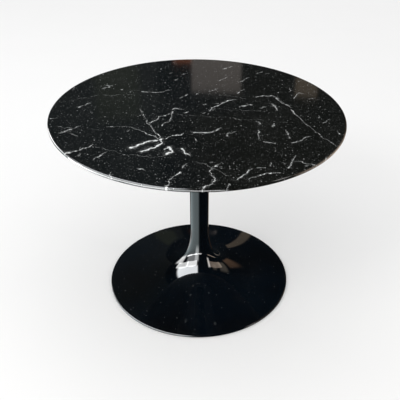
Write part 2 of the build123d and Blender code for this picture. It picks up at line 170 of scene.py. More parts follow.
class StageSettings(bpy.types.PropertyGroup):
    """The floor, the light and the camera."""

    floor: colour_setting("Floor", "Colour of the floor", (0.86, 0.86, 0.86))
    lens: FloatProperty(name="Lens", description="Focal length in millimetres", default=56.95)
    distance: length_setting("Distance", "Camera to axis, along Y", 1.978)
    height: length_setting("Height", "Camera over the floor", 1.641)
    offset: length_setting("Offset", "Camera to axis, along X", 0.153)
    pitch: angle_setting("Pitch", "Downward tilt", 34.01)
    roll: angle_setting("Roll", "Lean of the camera", 2.39)
    shift: FloatVectorProperty(
        name="Shift", description="Sideways and upward lens shift", default=(-0.1, 0.035), size=2
    )


# ---------------------------------------------------------------- mesh work


def only(piece):
    """Selects one piece and nothing else."""
    bpy.ops.object.select_all(action="DESELECT")
    piece.select_set(True)
    bpy.context.view_layer.objects.active = piece


def edit(piece):
    """Opens a piece in edit mode with nothing selected in it."""
    only(piece)
    bpy.ops.object.mode_set(mode="EDIT")
    bpy.ops.mesh.select_all(action="DESELECT")


def done():
    """Leaves edit mode."""
    bpy.ops.object.mode_set(mode="OBJECT")


def pick(piece, kind, test):
    """Selects the edges or faces of a piece that pass a test. Call it in edit mode."""
    bpy.ops.mesh.select_all(action="DESELECT")
    bpy.ops.mesh.select_mode(type=kind)
    bpy.ops.object.mode_set(mode="OBJECT")
    mesh = piece.data
    if kind == "EDGE":
        for edge in mesh.edges:
            edge.select = all(test(mesh.vertices[i].co) for i in edge.vertices)
    if kind == "FACE":
        for face in mesh.polygons:
            face.select = test(face)
    bpy.ops.object.mode_set(mode="EDIT")


def radius_of(place):
    """Distance of a place from the Z axis."""
    return math.hypot(place.x, place.y)


def on_ring(place, radius, height):
    """True for a place on the circle of that radius and height about the Z axis."""
    return abs(radius_of(place) - radius) < LOOSE and abs(place.z - height) < LOOSE


def bake_place(piece):
    """Moves a piece's place into its mesh, so that its object sits at the origin."""
    only(piece)
    bpy.ops.object.transform_apply(location=True, rotation=True, scale=True)


def smooth(piece, degrees=35.0):
    """Smooth shading, with edges sharper than the angle kept."""
    only(piece)
    bpy.ops.object.shade_smooth_by_angle(angle=math.radians(degrees))


def apply_modifier(piece, kind, **settings):
    """Adds a modifier with its settings and applies it."""
    only(piece)
    modifier = piece.modifiers.new(kind.title(), kind)
    for name, setting in settings.items():
        setattr(modifier, name, setting)
    bpy.ops.object.modifier_apply(modifier=modifier.name)


def combine(piece, tool, operation):
    """Joins or cuts a piece with another one, which is used up."""
    apply_modifier(piece, "BOOLEAN", object=tool, operation=operation, solver="EXACT")
    bpy.data.objects.remove(tool)


def cylinders(places, radius, low, high, vertices=48):
    """One object with an upright cylinder at each place."""
    made = []
    for x, y in places:
        bpy.ops.mesh.primitive_cylinder_add(
            vertices=vertices, radius=radius, depth=high - low, location=(x, y, (low + high) / 2)
        )
        made.append(bpy.context.object)
    bpy.ops.object.select_all(action="DESELECT")
    for piece in made:
        piece.select_set(True)
    bpy.context.view_layer.objects.active = made[0]
    bpy.ops.object.join()
    bake_place(made[0])
    return made[0]


def around(count, radius, turn):
    """Evenly spaced places on a circle about the Z axis; turn is in degrees."""
    angles = [math.radians(turn + 360.0 / count * i) for i in range(count)]
    return [(radius * math.cos(a), radius * math.sin(a)) for a in angles]


def turned(name, outline, steps):
    """A piece spun about the Z axis from a closed outline of (radius, height)."""
    (first_radius, first_height), *rest = outline
    bpy.ops.object.select_all(action="DESELECT")
    bpy.ops.mesh.primitive_plane_add(size=0.001, location=(0, 0, 0))
    piece = bpy.context.object
    piece.name = name
    bpy.ops.object.mode_set(mode="EDIT")
    bpy.ops.mesh.select_mode(type="VERT")
    bpy.ops.mesh.select_all(action="SELECT")
    bpy.ops.mesh.merge(type="CENTER")
    bpy.ops.transform.translate(value=(first_radius, 0, first_height))
    radius, height = first_radius, first_height
    for next_radius, next_height in rest:
        step = (next_radius - radius, 0, next_height - height)
        bpy.ops.mesh.extrude_region_move(TRANSFORM_OT_translate={"value": step})
        radius, height = next_radius, next_height
    bpy.ops.mesh.extrude_region_move(
        TRANSFORM_OT_translate={"value": (first_radius - radius, 0, first_height - height)}
    )
    bpy.ops.mesh.select_all(action="SELECT")
    bpy.ops.mesh.remove_doubles(threshold=EPSILON)
    bpy.ops.mesh.spin(steps=steps, angle=2 * math.pi, center=(0, 0, 0), axis=(0, 0, 1))
    bpy.ops.mesh.select_all(action="SELECT")
    bpy.ops.mesh.remove_doubles(threshold=EPSILON)
    bpy.ops.mesh.normals_make_consistent(inside=False)
    done()
    return piece


def finish_piece(piece, material, slot, *nodes):
    """Dresses a finished piece, stands it for its CAD nodes and lets it ride on their body."""
    piece.data.materials.clear()
    piece.data.materials.append(material)
    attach(piece, BODY)
    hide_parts(*nodes)


def dress(material, *nodes):
    """Gives CAD nodes a finish."""
    for name in nodes:
        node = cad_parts[name]
        for slot in node.material_slots:
            slot.material = material


# ---------------------------------------------------------------- shader work


class Board:
    """Adds shader nodes to a tree and wires them up."""

    def __init__(self, tree):
        self.tree = tree

    def node(self, kind, sockets, **settings):
        """A node with its settings, and its sockets set or wired. Sockets are named or numbered."""
        made = self.tree.nodes.new(kind)
        for name, setting in settings.items():
            setattr(made, name, setting)
        for key, given in sockets.items():
            if isinstance(given, bpy.types.NodeSocket):
                self.tree.links.new(given, made.inputs[key])
            elif given is not None:
                made.inputs[key].default_value = given
        return made

    def sum(self, operation, a, b=None, c=None):
        """A Math node's result."""
        return self.node("ShaderNodeMath", {0: a, 1: b, 2: c}, operation=operation).outputs[0]

    def vector(self, operation, a, b=None, c=None):
        """A Vector Math node's vector."""
        return self.node("ShaderNodeVectorMath", {0: a, 1: b, 2: c}, operation=operation).outputs["Vector"]

    def measure(self, operation, a, b=None):
        """A Vector Math node's number."""
        return self.node("ShaderNodeVectorMath", {0: a, 1: b}, operation=operation).outputs["Value"]

    def scaled(self, a, scale):
        """A vector times a number."""
        return self.node("ShaderNodeVectorMath", {0: a, "Scale": scale}, operation="SCALE").outputs["Vector"]

    def part(self, vector, axis):
        """A vector's X, Y or Z."""
        return self.node("ShaderNodeSeparateXYZ", {0: vector}).outputs[axis]

    def upwardness(self):
        """How far the surface faces up, from -1 to 1."""
        return self.part(self.node("ShaderNodeNewGeometry", {}).outputs["Normal"], "Z")

    def chance(self, cells):
        """A number from 0 to 1 that each cell keeps to."""
        return self.node("ShaderNodeSeparateColor", {0: cells["Color"]}).outputs[0]

    def noise(self, place, scale, detail=2.0, roughness=0.5):
        """A noise texture: its Fac and Color sockets."""
        sockets = {"Vector": place, "Scale": scale, "Detail": detail, "Roughness": roughness}
        return self.node("ShaderNodeTexNoise", sockets).outputs

    def cells(self, place, scale, feature="F1"):
        """A Voronoi texture's sockets."""
        return self.node("ShaderNodeTexVoronoi", {"Vector": place, "Scale": scale}, feature=feature).outputs

    def span(self, number, low, high, to_low=0.0, to_high=1.0):
        """A number taken smoothly from one range to another."""
        sockets = {"Value": number, "From Min": low, "From Max": high, "To Min": to_low, "To Max": to_high}
        return self.node("ShaderNodeMapRange", sockets, interpolation_type="SMOOTHSTEP").outputs["Result"]

    def mix(self, factor, a, b):
        """A blend of two colours."""
        sockets = {"Factor": factor, 6: a, 7: b}
        return self.node("ShaderNodeMix", sockets, data_type="RGBA").outputs[2]

    def bump(self, height, strength, distance):
        """A normal from a height."""
        return self.node(
            "ShaderNodeBump", {"Height": height, "Strength": strength, "Distance": distance}
        ).outputs["Normal"]


def rgba(colour):
    """A colour with full alpha."""
    return (*colour, 1.0)


def new_material(name):
    """An empty material, its board and the object's coordinates."""
    material = bpy.data.materials.new(name)
    material.use_nodes = True
    material.node_tree.nodes.clear()
    board = Board(material.node_tree)
    place = board.node("ShaderNodeTexCoord", {}).outputs["Object"]
    return material, board, place


def close_material(board, sockets):
    """Adds the shader and the output, last, so that the nodes stand in the order they are read."""
    shader = board.node("ShaderNodeBsdfPrincipled", sockets)
    board.node("ShaderNodeOutputMaterial", {"Surface": shader.outputs[0]})


# ---------------------------------------------------------------- stone

# The veins that the eye follows: each one's half-width, then the few places that it runs through.
VEINS = (
    # the bright loop, left of the middle and towards the front
    (0.0032, (-0.18, -0.28), (-0.15, -0.24), (-0.11, -0.22)),
    (0.0030, (-0.15, -0.30), (-0.12, -0.27), (-0.10, -0.24), (-0.10, -0.21)),
    (0.0008, (-0.10, -0.21), (-0.14, -0.15), (-0.20, 0.0)),
    (0.0006, (-0.11, -0.21), (-0.20, -0.14), (-0.29, -0.14)),
    # the knot right of it
    (0.0030, (-0.08, -0.31), (-0.06, -0.29), (-0.07, -0.26)),
    (0.0026, (-0.03, -0.27), (-0.01, -0.31)),
    # the angle behind the loop
    (0.0018, (-0.15, -0.10), (-0.13, -0.05), (-0.09, -0.02)),
    (0.0013, (-0.09, -0.01), (-0.09, -0.08), (-0.11, -0.12)),
    # the chain towards the right
    (0.0013, (-0.07, -0.19), (-0.04, -0.17)),
    (0.0022, (-0.01, -0.16), (0.05, -0.15), (0.08, -0.12)),
    # strokes behind the middle
    (0.0020, (0.03, 0.01), (0.09, 0.10), (0.12, 0.11)),
    (0.0020, (0.14, 0.05), (0.18, 0.08)),
    (0.0016, (-0.22, 0.15), (-0.15, 0.15), (-0.12, 0.18)),
    (0.0014, (-0.08, 0.10), (-0.05, 0.14)),
    # the long vein on the right
    (0.0018, (0.19, 0.14), (0.25, 0.16), (0.31, 0.07)),
    (0.0010, (0.31, 0.05), (0.38, -0.10), (0.44, -0.21)),
    (0.0018, (0.25, 0.09), (0.27, 0.04)),
    # dashes at the far side
    (0.0016, (0.13, 0.27), (0.17, 0.33)),
    (0.0012, (0.05, 0.28), (0.08, 0.32)),
    (0.0014, (0.06, 0.40), (0.10, 0.43)),
    (0.0014, (0.13, 0.17), (0.15, 0.21)),
    (0.0012, (0.33, 0.14), (0.35, 0.20)),
    (0.0012, (0.02, 0.17), (0.05, 0.21)),
    (0.0012, (-0.36, 0.16), (-0.33, 0.19)),
    # right of the middle
    (0.0014, (0.20, -0.12), (0.20, -0.19)),
    (0.0014, (0.29, -0.12), (0.30, -0.17)),
    (0.0014, (0.31, -0.20), (0.37, -0.15)),
    (0.0012, (0.42, -0.05), (0.44, -0.02)),
    (0.0012, (0.22, -0.20), (0.25, -0.21)),
    # the front right
    (0.0018, (0.14, -0.44), (0.18, -0.37)),
    (0.0014, (0.18, -0.44), (0.21, -0.40), (0.26, -0.39)),
    (0.0016, (0.29, -0.36), (0.32, -0.28)),
    (0.0012, (0.31, -0.32), (0.37, -0.33)),
    (0.0016, (0.37, -0.34), (0.42, -0.28)),
    # the front
    (0.0022, (-0.05, -0.51), (-0.05, -0.46), (-0.02, -0.41)),
    (0.0022, (0.04, -0.51), (0.08, -0.45), (0.06, -0.40)),
    (0.0010, (0.06, -0.40), (0.10, -0.34)),
    (0.0014, (0.11, -0.50), (0.12, -0.47)),
    (0.0018, (-0.21, -0.48), (-0.22, -0.43)),
    # the left
    (0.0022, (-0.40, -0.34), (-0.34, -0.31), (-0.30, -0.27)),
    (0.0014, (-0.28, -0.36), (-0.26, -0.31)),
    (0.0014, (-0.42, -0.20), (-0.37, -0.14)),
    (0.0012, (-0.39, -0.20), (-0.36, -0.22)),
    (0.0014, (-0.41, -0.01), (-0.38, 0.03)),
)

# Fainter lines that run on between the veins, as places only.
FAINT_LINES = (
    ((-0.08, -0.03), (0.10, -0.04), (0.30, -0.06)),
    ((0.06, 0.03), (0.25, 0.02)),
    ((0.02, -0.35), (0.12, -0.42)),
    ((-0.30, -0.28), (-0.20, -0.32), (-0.08, -0.33)),
    ((-0.48, 0.03), (-0.36, 0.10), (-0.24, 0.12)),
    ((0.02, 0.15), (0.12, 0.14), (0.20, 0.10)),
    ((0.30, 0.24), (0.42, 0.14)),
    ((-0.44, -0.16), (-0.30, -0.17)),
)

# The faint lines' half-width, and how much of its width any vein loses from its start to its end.
FAINT_HALF_WIDTH = 0.0009
TAPER = 0.4

# Short strokes strewn between the veins: their number, the radius that they keep within, the turn
# that most of them keep to and how far they stray from it, their lengths and their half-widths.
STROKES = 46
STROKE_RADIUS = 0.49
STROKE_TURN = math.radians(50)
STROKE_SPREAD = 0.5
STROKE_LENGTHS = (0.008, 0.030)
STROKE_HALF_WIDTHS = (0.0007, 0.0014)
STROKE_SEED = 5

# How the veins wander: the scale, detail and roughness of a noise, and its reach in metres.
WANDERINGS = (
    (24.0, 2.0, 0.5, 0.030),
    (70.0, 3.0, 0.65, 0.018),
    (300.0, 2.0, 0.5, 0.006),
)

# Half-widths to the nearest vein before any is measured.
FAR = 1000.0

# Distances from the knot's middle where its brightening ends and where it is full.
KNOT_REACH = (0.19, 0.07)

# Grains: cells to the metre, size in its cell, rarity of the bright ones, and brightness.
GRAINS = (
    (62.0, 0.17, 14.0, 0.85),
    (130.0, 0.28, 7.0, 0.42),
    (280.0, 0.50, 5.0, 0.12),
    (620.0, 0.60, 4.0, 0.045),
)


def stray_strokes():
    """Short thin strokes, strewn evenly over the stone and leaning mostly one way."""
    draw = random.Random(STROKE_SEED)
    strokes = []
    for _ in range(STROKES):
        radius = STROKE_RADIUS * math.sqrt(draw.random())
        bearing = draw.uniform(0.0, math.tau)
        turn = STROKE_TURN + draw.gauss(0.0, STROKE_SPREAD)
        length = draw.uniform(*STROKE_LENGTHS)
        x, y = radius * math.cos(bearing), radius * math.sin(bearing)
        end = (x + length * math.cos(turn), y + length * math.sin(turn))
        strokes.append((draw.uniform(*STROKE_HALF_WIDTHS), (x, y), end))
    return strokes


def vein_group():
    """The node group that measures how far a place is from a vein's straight run, in half-widths."""
    tree = bpy.data.node_groups.new("vein run", "ShaderNodeTree")
    sockets = (
        ("So far", "NodeSocketFloat"),
        ("Place", "NodeSocketVector"),
        ("Start", "NodeSocketVector"),
        ("Run", "NodeSocketVector"),
        ("Share", "NodeSocketVector"),
        ("Start width", "NodeSocketFloat"),
        ("Widening", "NodeSocketFloat"),
    )
    for name, kind in sockets:
        tree.interface.new_socket(name, in_out="INPUT", socket_type=kind)
    tree.interface.new_socket("Nearest", in_out="OUTPUT", socket_type="NodeSocketFloat")
    board = Board(tree)
    given = board.node("NodeGroupInput", {}).outputs
    offset = board.vector("SUBTRACT", given["Place"], given["Start"])
    along = board.measure("DOT_PRODUCT", offset, given["Share"])
    along = board.node("ShaderNodeClamp", {"Value": along}).outputs[0]
    away = board.measure("DISTANCE", offset, board.scaled(given["Run"], along))
    width = board.sum("MULTIPLY_ADD", along, given["Widening"], given["Start width"])
    nearest = board.sum("MINIMUM", given["So far"], board.sum("DIVIDE", away, width))
    board.node("NodeGroupOutput", {"Nearest": nearest})
    return tree


def veins(board, place, group, lines):
    """Distance to the nearest of some veins, in that vein's half-widths."""
    nearest = FAR
    for half_width, *points in lines:
        runs = len(points) - 1
        for i in range(runs):
            start = Vector((*points[i], 0.0))
            run = Vector((*points[i + 1], 0.0)) - start
            sockets = {
                "So far": nearest,
                "Place": place,
                "Start": start,
                "Run": run,
                "Share": run / run.length_squared,
                "Start width": half_width * (1.0 - TAPER * i / runs),
                "Widening": -half_width * TAPER / runs,
            }
            nearest = board.node("ShaderNodeGroup", sockets, node_tree=group).outputs[0]
    return nearest


def marble(settings):
    """Polished black marble: clouded ground, fine specks, threads and white calcite veins."""
    material, board, place = new_material("black marble")
    flat = board.vector("MULTIPLY", place, (1.0, 1.0, 0.0))
    warped = flat
    for scale, detail, roughness, reach in WANDERINGS:
        wobble = board.noise(flat, scale, detail, roughness)["Color"]
        wobble = board.vector("SUBTRACT", wobble, (0.5, 0.5, 0.5))
        warped = board.vector("MULTIPLY_ADD", wobble, (reach, reach, 0.0), warped)
    group = vein_group()
    nearest = veins(board, warped, group, (*VEINS, *stray_strokes()))
    faint_runs = [(FAINT_HALF_WIDTH, *line) for line in FAINT_LINES]
    faint_nearest = veins(board, warped, group, faint_runs)
    # the veins swell, thin out and break
    breaks = board.noise(flat, 95.0, 3.0, 0.70)["Fac"]
    swell = board.span(breaks, 0.36, 0.66, 0.22, 1.25)
    gleam = board.span(board.noise(flat, 55.0, 3.0, 0.65)["Fac"], 0.38, 0.62, 0.25, 1.0)
    knot = board.span(board.measure("DISTANCE", flat, (*settings.knot, 0.0)), *KNOT_REACH)
    gleam = board.sum("MAXIMUM", gleam, knot)
    swell = board.sum("MULTIPLY_ADD", knot, 0.50, swell)
    ratio = board.sum("DIVIDE", nearest, swell)
    core = board.sum("MULTIPLY", board.span(ratio, 1.50, 0.30), gleam)
    halo = board.span(ratio, 4.5, 0.8, 0.0, 0.06)
    faint_ratio = board.sum("DIVIDE", faint_nearest, swell)
    faint_gleam = board.span(board.noise(flat, 33.0, 4.0, 0.7)["Fac"], 0.38, 0.62, 0.02, 0.26)
    faint = board.sum("MULTIPLY", board.span(faint_ratio, 1.8, 0.3), faint_gleam)
    # fine threads branch off beside them
    threads = board.cells(warped, 75.0, "DISTANCE_TO_EDGE")["Distance"]
    beside = board.span(nearest, 9.0, 1.5)
    thread = board.sum("MULTIPLY", board.span(threads, 0.070, 0.012), beside)
    thread = board.sum("MULTIPLY", thread, board.span(breaks, 0.46, 0.64, 0.0, 0.20))
    vein = board.sum("MAXIMUM", board.sum("MAXIMUM", core, faint), board.sum("MAXIMUM", thread, halo))
    # grains in a few sizes, each crystal in a cell of its own, few of them bright
    specks = 0.0
    for scale, size, rarity, brightness in GRAINS:
        grains = board.cells(place, scale)
        grain = board.span(grains["Distance"], size, size * 0.3, 0.0, brightness)
        grain = board.sum("MULTIPLY", grain, board.sum("POWER", board.chance(grains), rarity))
        specks = board.sum("MAXIMUM", grain, specks)
    marks = board.sum("MAXIMUM", vein, specks)
    # the underside is left honed under a dark backing resin
    backed = board.span(board.upwardness(), -0.95, -0.985)
    marks = board.sum("MULTIPLY", marks, board.span(backed, 0.0, 1.0, 1.0, 0.10))
    clouds = board.span(board.noise(warped, 6.0, 6.0, 0.70)["Fac"], 0.44, 0.70)
    ground = board.mix(clouds, rgba(settings.ground), rgba(settings.cloud))
    # painted reflection: the ground takes a sea-green cast on its left, standing for the greenish light
    # mirrored there, and an olive cast on its right, standing for the warm room; the cast drifts with X and
    # a noise
    reflection_drift = board.sum("MULTIPLY_ADD", board.noise(flat, 3.0, 3.0)["Fac"], 0.5, board.part(flat, "X"))
    side = board.span(reflection_drift, 0.05, 0.45)
    painted_reflection_tint = board.mix(side, rgba(settings.painted_left_reflection), rgba(settings.painted_right_reflection))
    ground = board.mix(0.45, ground, painted_reflection_tint)
    colour = board.mix(marks, ground, rgba(settings.calcite))
    roughness = board.span(board.noise(place, 60.0, 4.0)["Fac"], 0.3, 0.8, 0.035, 0.070)
    polish = board.sum("MULTIPLY_ADD", vein, 0.05, roughness)
    polish = board.sum("MULTIPLY_ADD", backed, 0.40, polish)
    close_material(board, {"Base Color": colour, "Roughness": polish, "IOR": 1.52})
    return material


class TABLE_OT_stone_top(bpy.types.Operator):
    """Models the stone disc with its nose, its undercut and the holes for its inserts"""

    bl_idname = "pedestal_table.stone_top"
    bl_label = "Stone top"

    def execute(self, context):
        settings = context.scene.table_stone
        edge_radius = STONE_HIGH.x
        flat_radius = edge_radius - settings.bevel
        nose_low = STONE_HIGH.z - settings.nose
        bpy.ops.object.select_all(action="DESELECT")
        bpy.ops.mesh.primitive_circle_add(
            vertices=settings.facets, radius=flat_radius, fill_type="NGON", location=(0, 0, STONE_LOW.z)
        )
        disc = context.object
        disc.name = "stone_disc"
        bpy.ops.object.mode_set(mode="EDIT")
        bpy.ops.mesh.extrude_region_move(TRANSFORM_OT_translate={"value": (0, 0, nose_low - STONE_LOW.z)})
        wider = edge_radius / flat_radius
        bpy.ops.transform.resize(value=(wider, wider, 1.0))
        bpy.ops.mesh.extrude_region_move(TRANSFORM_OT_translate={"value": (0, 0, settings.nose)})
        done()
        bake_place(disc)
        edit(disc)
        for height in (nose_low, STONE_HIGH.z):
            pick(disc, "EDGE", lambda place: on_ring(place, edge_radius, height))
            bpy.ops.mesh.bevel(offset=settings.arris, segments=ARRIS_SEGMENTS, profile=ROUND, affect="EDGES")
        for height in (STONE_LOW.z, STONE_HIGH.z):
            pick(disc, "FACE", lambda face: abs(face.center.z - height) < EPSILON and face.area > FLAT_AREA)
            for support in SUPPORT_INSETS:
                bpy.ops.mesh.inset(thickness=support, depth=0.0)
        bpy.ops.mesh.select_all(action="SELECT")
        bpy.ops.mesh.normals_make_consistent(inside=False)
        done()
        places = around(INSERTS, INSERT_HIGH.y - settings.insert, INSERT_TURN)
        holes = cylinders(places, settings.insert, STONE_LOW.z - settings.arris, INSERT_HIGH.z)
        combine(disc, holes, "DIFFERENCE")
        smooth(disc)
        finish_piece(disc, marble(settings), "black_marble", "marble_top")
        return {"FINISHED"}


# ---------------------------------------------------------------- pedestal

DUST = (0.55, 0.56, 0.58)
SCUFF = (0.10, 0.10, 0.105)


def bezier(start, pull, second_pull, end, steps):
    """Places along a cubic curve, without its first."""
    corners = (start, pull, second_pull, end)
    found = []
    for i in range(1, steps + 1):
        t = i / steps
        s = 1.0 - t
        weights = (s * s * s, 3 * s * s * t, 3 * s * t * t, t * t * t)
        found.append(tuple(sum(w * c[k] for w, c in zip(weights, corners)) for k in (0, 1)))
    return found


def flare(settings, inward, steps):
    """The pedestal's side from the rim up to the head, moved in by a wall thickness."""
    top = SHELL_HIGH.z
    dish_pull = Vector(settings.dish_pull)
    rim = Vector((SHELL_HIGH.x, settings.rim_height))
    slope = math.atan2(dish_pull.y - rim.y, rim.x - dish_pull.x)
    rim -= inward * Vector((math.sin(slope), math.cos(slope)))
    dish_pull -= inward * Vector((settings.wall_ease, 1.0))
    column = settings.column - inward
    flare_pull = (column, settings.flare_pull - inward * settings.wall_ease)
    side = [tuple(rim)] + bezier(rim, dish_pull, flare_pull, (column, settings.flare_top), steps)
    straight = top - settings.head_flare - settings.flare_top
    for i in range(1, COLUMN_STEPS + 1):
        side.append((column, settings.flare_top + straight * i / COLUMN_STEPS))
    low_pull = (column, top - settings.head_low_pull)
    high_pull = (settings.column + settings.head_high_pull[0] - inward, top - settings.head_high_pull[1])
    lip = (settings.head - inward, top - settings.head_lip)
    return side + bezier(side[-1], low_pull, high_pull, lip, steps // 2)


def between(side, axis, low, high):
    """The stretch of a side in a span of radius (axis 0) or height (axis 1), cut to end on its limits."""
    cut = []
    for here, there in zip(side, side[1:]):
        a, b = here[axis], there[axis]
        if low <= a <= high:
            cut.append(here)
        crossed = [level for level in (low, high) if (a - level) * (b - level) < 0]
        for level in sorted(crossed, reverse=a > b):
            share = (level - a) / (b - a)
            cut.append(tuple(p + (q - p) * share for p, q in zip(here, there)))
    return cut + [side[-1]] if low <= side[-1][axis] <= high else cut


def lacquer(settings):
    """Gloss black lacquer over a casting: faint orange peel, settled dust and a rim worn by shoes."""
    material, board, place = new_material("black lacquer")
    peel = board.noise(place, 55.0, 2.0)["Fac"]
    ripple = board.noise(place, 9.0, 1.0)["Fac"]
    height = board.sum("MULTIPLY_ADD", ripple, 3.0, peel)
    normal = board.bump(height, 0.05, 0.0008)
    flat = board.span(board.upwardness(), 0.55, 0.95)
    motes = board.cells(place, 130.0)
    chosen = board.span(board.chance(motes), 0.84, 0.99)
    mote = board.sum("MULTIPLY", board.span(motes["Distance"], 0.20, 0.05), chosen)
    fine = board.cells(place, 520.0)
    fine_mote = board.sum("MULTIPLY", board.span(fine["Distance"], 0.30, 0.10), 0.25)
    film = board.span(board.noise(place, 7.0, 5.0, 0.7)["Fac"], 0.45, 0.75)
    dust = board.sum("MAXIMUM", mote, board.sum("MULTIPLY", fine_mote, film))
    dust = board.sum("MULTIPLY", dust, flat)
    scuffs = board.noise(board.vector("MULTIPLY", place, (30.0, 30.0, 400.0)), 3.0, 4.0, 0.7)["Fac"]
    low_edge = board.span(board.part(place, "Z"), 0.012, 0.004)
    scuffed = board.sum("MULTIPLY", board.span(scuffs, 0.55, 0.75), low_edge)
    tint = board.span(board.noise(place, 3.0, 3.0)["Fac"], 0.35, 0.65)
    deep = board.mix(tint, rgba(settings.lacquer), rgba(settings.lacquer_deep))
    colour = board.mix(board.sum("MULTIPLY", dust, 0.30), deep, rgba(DUST))
    colour = board.mix(board.sum("MULTIPLY", scuffed, 0.35), colour, rgba(SCUFF))
    roughness = board.span(board.noise(place, 22.0, 5.0, 0.65)["Fac"], 0.35, 0.75, 0.035, 0.075)
    roughness = board.sum("MULTIPLY_ADD", board.sum("MAXIMUM", dust, scuffed), 0.35, roughness)
    sockets = {
        "Base Color": colour,
        "Roughness": roughness,
        "IOR": 1.5,
        "Coat Weight": 0.6,
        "Coat Roughness": 0.03,
        "Normal": normal,
    }
    close_material(board, sockets)
    return material


class TABLE_OT_pedestal(bpy.types.Operator):
    """Models the cast pedestal: dish, flare, column and head, hollow, with its web and screw bosses"""

    bl_idname = "pedestal_table.pedestal"
    bl_label = "Pedestal"

    def execute(self, context):
        settings = context.scene.table_pedestal
        outer = flare(settings, 0.0, OUTER_STEPS)
        inner = flare(settings, settings.wall, INNER_STEPS)
        head_under = SHELL_HIGH.z - settings.head_thickness
        web_low = WASHER_TOP
        web_high = web_low + settings.web
        bore = BOSS_RADIUS + settings.bore_gap
        bead_radius = SHELL_HIGH.x - settings.bead
        chamber = between(inner, 1, web_high, head_under)
        dish = between(between(inner, 1, 0.0, web_low), 0, 0.0, bead_radius)
        outline = outer
        outline += [(settings.head, SHELL_HIGH.z), (bore, SHELL_HIGH.z), (bore, head_under)]
        outline += reversed(chamber)
        outline += [(settings.rod_hole, web_high), (settings.rod_hole, web_low)]
        outline += reversed(dish)
        outline += [(bead_radius, SHELL_LOW.z), (RING_HIGH.x - settings.ring, SHELL_LOW.z)]
        outline += [(RING_HIGH.x - settings.ring, RING_HIGH.z), (RING_HIGH.x, RING_HIGH.z)]
        outline += [(RING_HIGH.x, SHELL_LOW.z), (SHELL_HIGH.x, SHELL_LOW.z)]
        casting = turned("cast_pedestal", outline, settings.steps)

        def on_rim(place):
            return radius_of(place) > SHELL_HIGH.x - EPSILON and place.z > settings.rim_height - EPSILON

        edit(casting)
        pick(casting, "EDGE", on_rim)
        bpy.ops.mesh.bevel(offset=settings.rim_round, segments=RIM_SEGMENTS, profile=ROUND, affect="EDGES")
        done()
        places = around(BOSSES, settings.boss_circle, BOSS_TURN)
        bosses = cylinders(places, settings.boss, BASE_PLATE_TOP, settings.boss_top)
        combine(casting, bosses, "UNION")
        deepest = BASE_PLATE_TOP + settings.boss_hole_depth
        holes = cylinders(places, settings.boss_hole, BASE_PLATE_TOP - settings.wall, deepest, HOLE_FACETS)
        combine(casting, holes, "DIFFERENCE")
        smooth(casting)
        finish_piece(casting, lacquer(settings), "black_lacquer", "pedestal_shell")
        return {"FINISHED"}


# ---------------------------------------------------------------- steel, brass, rubber and plastic

ZINC = (0.60, 0.61, 0.63)
BRASS = (0.74, 0.52, 0.22)
OIL_BLACK = (0.10, 0.10, 0.11)
BARE_STEEL = (0.45, 0.45, 0.46)
BLACK = (0.018, 0.018, 0.019)
NATURAL_NYLON = (0.62, 0.60, 0.54)
BLACK_NYLON = (0.022, 0.022, 0.023)
SCRATCH = (0.80, 0.80, 0.80)
RUBBED = (0.12, 0.12, 0.12)
PRIMER = (0.060, 0.062, 0.065)
PALE_PRIMER = (0.110, 0.112, 0.115)
RUST = (0.110, 0.040, 0.016)
RUBBER = (0.018, 0.018, 0.018)
CHALK = (0.11, 0.11, 0.105)


def plated_steel(name, colour, roughness=0.28):
    """Zinc-plated steel: a faint blue and yellow bloom, fine scratches and a slightly uneven sheen."""
    material, board, place = new_material(name)
    bloom = board.span(board.noise(place, 160.0, 3.0, 0.6)["Fac"], 0.35, 0.70)
    warm = tuple(c * w for c, w in zip(colour, (1.0, 0.94, 0.80)))
    tone = board.mix(bloom, rgba(colour), rgba(warm))
    scratches = board.noise(board.vector("MULTIPLY", place, (1.0, 9.0, 3.0)), 700.0, 3.0, 0.7)["Fac"]
    tone = board.mix(board.span(scratches, 0.62, 0.74, 0.0, 0.35), tone, rgba(SCRATCH))
    sheen = board.span(board.noise(place, 300.0, 4.0)["Fac"], 0.3, 0.7, roughness - 0.08, roughness + 0.12)
    normal = board.bump(scratches, 0.12, 0.0001)
    close_material(board, {"Base Color": tone, "Metallic": 1.0, "Roughness": sheen, "Normal": normal})
    return material


def turned_metal(name, colour, roughness):
    """Bare turned metal: fine tool rings about the Z axis, with oil stains."""
    material, board, place = new_material(name)
    radius = board.measure("LENGTH", board.vector("MULTIPLY", place, (1.0, 1.0, 0.0)))
    rings = board.noise(board.node("ShaderNodeCombineXYZ", {0: radius}).outputs[0], 1800.0, 2.0, 0.7)["Fac"]
    stain = board.span(board.noise(place, 45.0, 5.0, 0.65)["Fac"], 0.45, 0.75)
    dark = tuple(c * 0.55 for c in colour)
    tone = board.mix(board.sum("MULTIPLY", stain, 0.6), rgba(colour), rgba(dark))
    sheen = board.sum("MULTIPLY_ADD", stain, 0.15, roughness)
    normal = board.bump(rings, 0.25, 0.0002)
    close_material(board, {"Base Color": tone, "Metallic": 1.0, "Roughness": sheen, "Normal": normal})
    return material


def powder_coat(name, colour):
    """Satin powder coat: a tight orange peel with a few paler rubbed spots."""
    material, board, place = new_material(name)
    peel = board.noise(place, 620.0, 2.0, 0.55)["Fac"]
    cloud = board.span(board.noise(place, 12.0, 5.0, 0.6)["Fac"], 0.40, 0.70)
    paler = tuple(c * 1.7 for c in colour)
    tone = board.mix(cloud, rgba(colour), rgba(paler))
    rubbed = board.span(board.noise(place, 90.0, 6.0, 0.75)["Fac"], 0.66, 0.74)
    tone = board.mix(board.sum("MULTIPLY", rubbed, 0.35), tone, rgba(RUBBED))
    sheen = board.span(cloud, 0.0, 1.0, 0.42, 0.52)
    close_material(board, {"Base Color": tone, "Roughness": sheen, "Normal": board.bump(peel, 0.35, 0.0004)})
    return material


